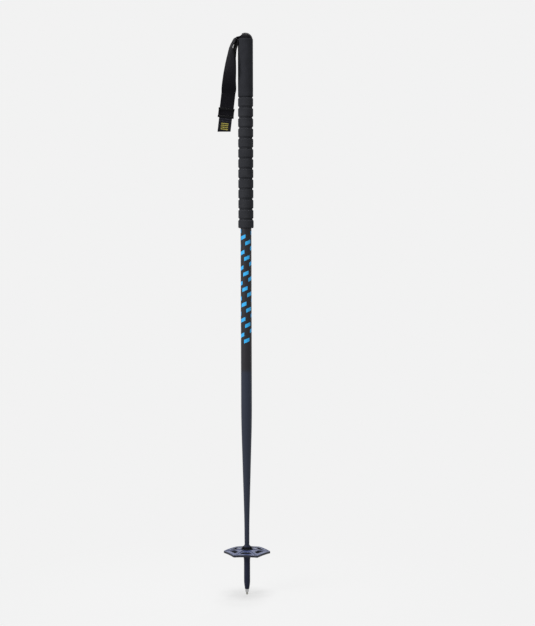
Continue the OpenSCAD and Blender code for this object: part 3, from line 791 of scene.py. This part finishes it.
def stitch_piece():
    """Two rows of lock stitches across the top of the tab, on both leaves."""
    row_downs, row_half = (6.2 * MM, 2.2 * MM), 10.4 * MM
    lift = TAB_IN + TAB_T
    right = Vector((up_strap.z, 0, -up_strap.x))
    rows = []
    for depth in (-lift, lift):
        for down in row_downs:
            middle = flat_station(FLAT_L - TAB_L + down, depth)[0]
            rows.append((middle - right * row_half, middle + right * row_half))
    mesh = bpy.data.meshes.new("stitch_lines")
    points = [p for row in rows for p in row]
    mesh.from_pydata(points, [(2 * i, 2 * i + 1) for i in range(len(rows))], [])
    b = Build("stitch_rows")
    pitch = b.size("Stitch Pitch", 2.6 * MM)
    length = b.size("Stitch Length", 2.0 * MM)
    thick = b.size("Thread Thickness", 0.5 * MM)
    seams = b.add("MeshToCurve", {"Mesh": b.entry.outputs["Geometry"]}).outputs[0]
    spaced = b.add("CurveToPoints", {"Curve": seams, "Length": pitch}, mode="LENGTH")
    aimed = b.tree.nodes.new("FunctionNodeAlignEulerToVector")
    aimed.axis = "X"
    b.feed(aimed.inputs["Vector"], spaced.outputs["Tangent"])
    bead = b.add("MeshUVSphere", {"Segments": 8, "Rings": 6, "Radius": 0.5}).outputs["Mesh"]
    placed = b.add("InstanceOnPoints", {"Points": spaced.outputs["Points"], "Instance": bead,
                                        "Rotation": aimed.outputs[0],
                                        "Scale": b.combined(length, thick, thick)}).outputs[0]
    thread = thread_finish()
    piece = b.made("strap_tab_stitches", placed, thread, mesh)
    return dress(smooth(piece, angle=80), thread, "strap", "tab_fabric")


def slider_piece():
    """A copy of the slider with its hard edges rounded over."""
    flat_angle, hard_angle = math.radians(0.3), math.radians(40)
    mesh = nodes["strap_slider"].data.copy()
    shape = bmesh.new()
    shape.from_mesh(mesh)
    bmesh.ops.remove_doubles(shape, verts=shape.verts, dist=MERGE_REACH)
    bmesh.ops.dissolve_limit(shape, angle_limit=flat_angle, verts=shape.verts, edges=shape.edges)
    shape.to_mesh(mesh)
    shape.free()
    piece = link_piece("strap_moulded_slider", mesh)
    bevel = piece.modifiers.new("edge", "BEVEL")
    bevel.width = SLIDER_EDGE
    bevel.segments = 3
    bevel.limit_method = "ANGLE"
    bevel.angle_limit = hard_angle
    black = moulded_finish("slider_black_plastic", shade(6, 6, 8), shade(13, 13, 16),
                           rough_low=0.32, rough_high=0.45, specular=0.1)
    return dress(smooth(plain(piece), angle=30), black, "slider", "slider_plastic", "strap_slider")


def paint_head():
    """Cap and plug in soft black plastic, screw and pin in steel."""
    plastic = moulded_finish("cap_soft_plastic", shade(10, 10, 13), shade(17, 16, 20),
                             rough_low=0.5, rough_high=0.65, specular=0.04)
    paint("top_cap", plastic)
    paint("grip_plug", plastic)
    steel = turned_finish("fastener_steel", shade(150, 150, 152), shade(186, 186, 188),
                          ring=0.3 * MM, rough_low=0.25, rough_high=0.4)
    paint("cap_screw", steel)
    paint("strap_pin", steel)


def paint_foot():
    """Ferrule, basket and collar in plastic and rubber, sleeve and point in metal."""
    paint("tip_sleeve", turned_finish("tip_bright_steel", shade(162, 163, 164), shade(198, 198, 197),
                                      ring=0.35 * MM, rough_low=0.2, rough_high=0.34))
    paint("tip_point", turned_finish("tip_hard_metal", shade(132, 132, 126), shade(162, 162, 154),
                                     ring=0.2 * MM, rough_low=0.35, rough_high=0.5))
    paint("tip_ferrule", moulded_finish("ferrule_plastic", shade(33, 37, 54), shade(43, 47, 66),
                                        rough_low=0.36, rough_high=0.48, specular=0.1))
    paint("basket_plate", basket_finish())
    paint("basket_collar", moulded_finish("collar_rubber", shade(14, 15, 18), shade(22, 23, 27),
                                          rough_low=0.6, rough_high=0.8, specular=0.05))


def seen_directly(tree):
    """1 for rays from the camera, in reflections and through clear things, 0 for rays of light."""
    paths = tree.add("LightPath").outputs
    indirect = tree.calc("MAXIMUM", paths["Is Glossy Ray"], paths["Is Transmission Ray"])
    return tree.calc("MAXIMUM", paths["Is Camera Ray"], indirect)


def make_world():
    """Even studio light, with the pale backdrop where it is seen directly or in a reflection."""
    fill = 0.35
    world = bpy.data.worlds.new("studio")
    scene.world = world
    world.use_nodes = True
    w = Nodes(world.node_tree, "ShaderNode")
    shown = w.add("Background", {"Color": BACKDROP, "Strength": 1.0}).outputs[0]
    light = w.add("Background", {"Color": (1, 1, 1, 1), "Strength": fill}).outputs[0]
    both = w.add("MixShader", {0: seen_directly(w), 1: light, 2: shown}).outputs[0]
    w.feed(world.node_tree.nodes["World Output"].inputs["Surface"], both)


def make_floor():
    """A pale floor that meets the backdrop without an edge and keeps a soft shadow round the point."""
    half, shadow_share, shadow_reach = 15.0, 0.3, 0.5
    mesh = bpy.data.meshes.new("floor")
    corners = [(-half, -half, 0), (half, -half, 0), (half, half, 0), (-half, half, 0)]
    mesh.from_pydata(corners, [], [(0, 1, 2, 3)])
    floor = link_piece("floor", mesh)
    material = bpy.data.materials.new("pale_floor")
    material.use_nodes = True
    m = Nodes(material.node_tree, "ShaderNode")
    m.tree.nodes.remove(m.tree.nodes["Principled BSDF"])
    near = m.add("Mapping", {"Vector": m.add("TexCoord").outputs["Object"],
                             "Scale": (1 / shadow_reach,) * 3}).outputs[0]
    fade = m.add("TexGradient", {"Vector": near}, gradient_type="SPHERICAL").outputs["Fac"]
    plain_share = m.calc("SUBTRACT", 1.0, m.calc("MULTIPLY", fade, shadow_share))
    matte = m.add("BsdfDiffuse", {"Color": shade(194, 194, 194)}).outputs[0]
    glow = m.add("Emission", {"Color": BACKDROP, "Strength": 1.0}).outputs[0]
    shown = m.add("MixShader", {0: plain_share, 1: matte, 2: glow}).outputs[0]
    bounce = m.add("BsdfDiffuse", {"Color": shade(150, 150, 150)}).outputs[0]
    both = m.add("MixShader", {0: seen_directly(m), 1: bounce, 2: shown}).outputs[0]
    m.feed(m.tree.nodes["Material Output"].inputs["Surface"], both)
    mesh.materials.append(material)


def make_lamp(name, place, target, size, power):
    data = bpy.data.lights.new(name, "AREA")
    data.size = size
    data.energy = power
    lamp = bpy.data.objects.new(name, data)
    scene.collection.objects.link(lamp)
    lamp.location = place
    lamp.rotation_euler = (Vector(target) - Vector(place)).to_track_quat("-Z", "Y").to_euler()


def make_camera():
    data = bpy.data.cameras.new("camera")
    data.sensor_width = 36
    data.lens = data.sensor_width * FOCAL_PX / IMAGE_H
    camera = bpy.data.objects.new("camera", data)
    camera.location = CAMERA_PLACE
    camera.rotation_euler = (math.pi / 2 - CAMERA_TILT, CAMERA_ROLL, 0)
    scene.collection.objects.link(camera)
    scene.camera = camera


make_camera()
make_world()
make_floor()
make_lamp("key", place=(-2.3, -1.7, 1.6), target=(0, 0, 0.6), size=1.5, power=50)
make_lamp("top", place=(0.0, -0.3, 5.0), target=(0, 0, 0.5), size=2.4, power=250)
make_lamp("back", place=(0.4, 2.0, 3.2), target=(0, 0, 0.6), size=1.2, power=50)

shaft_piece()
print_piece()
extension_piece(foam_finish("foam_lower", shade(43, 44, 48), shade(57, 58, 62)))
handle_piece(foam_finish("foam_upper", shade(39, 40, 44), shade(52, 53, 58)))
strap_piece()
tab_piece()
stitch_piece()
slider_piece()
paint_head()
paint_foot()

scene.view_settings.view_transform = "Standard"
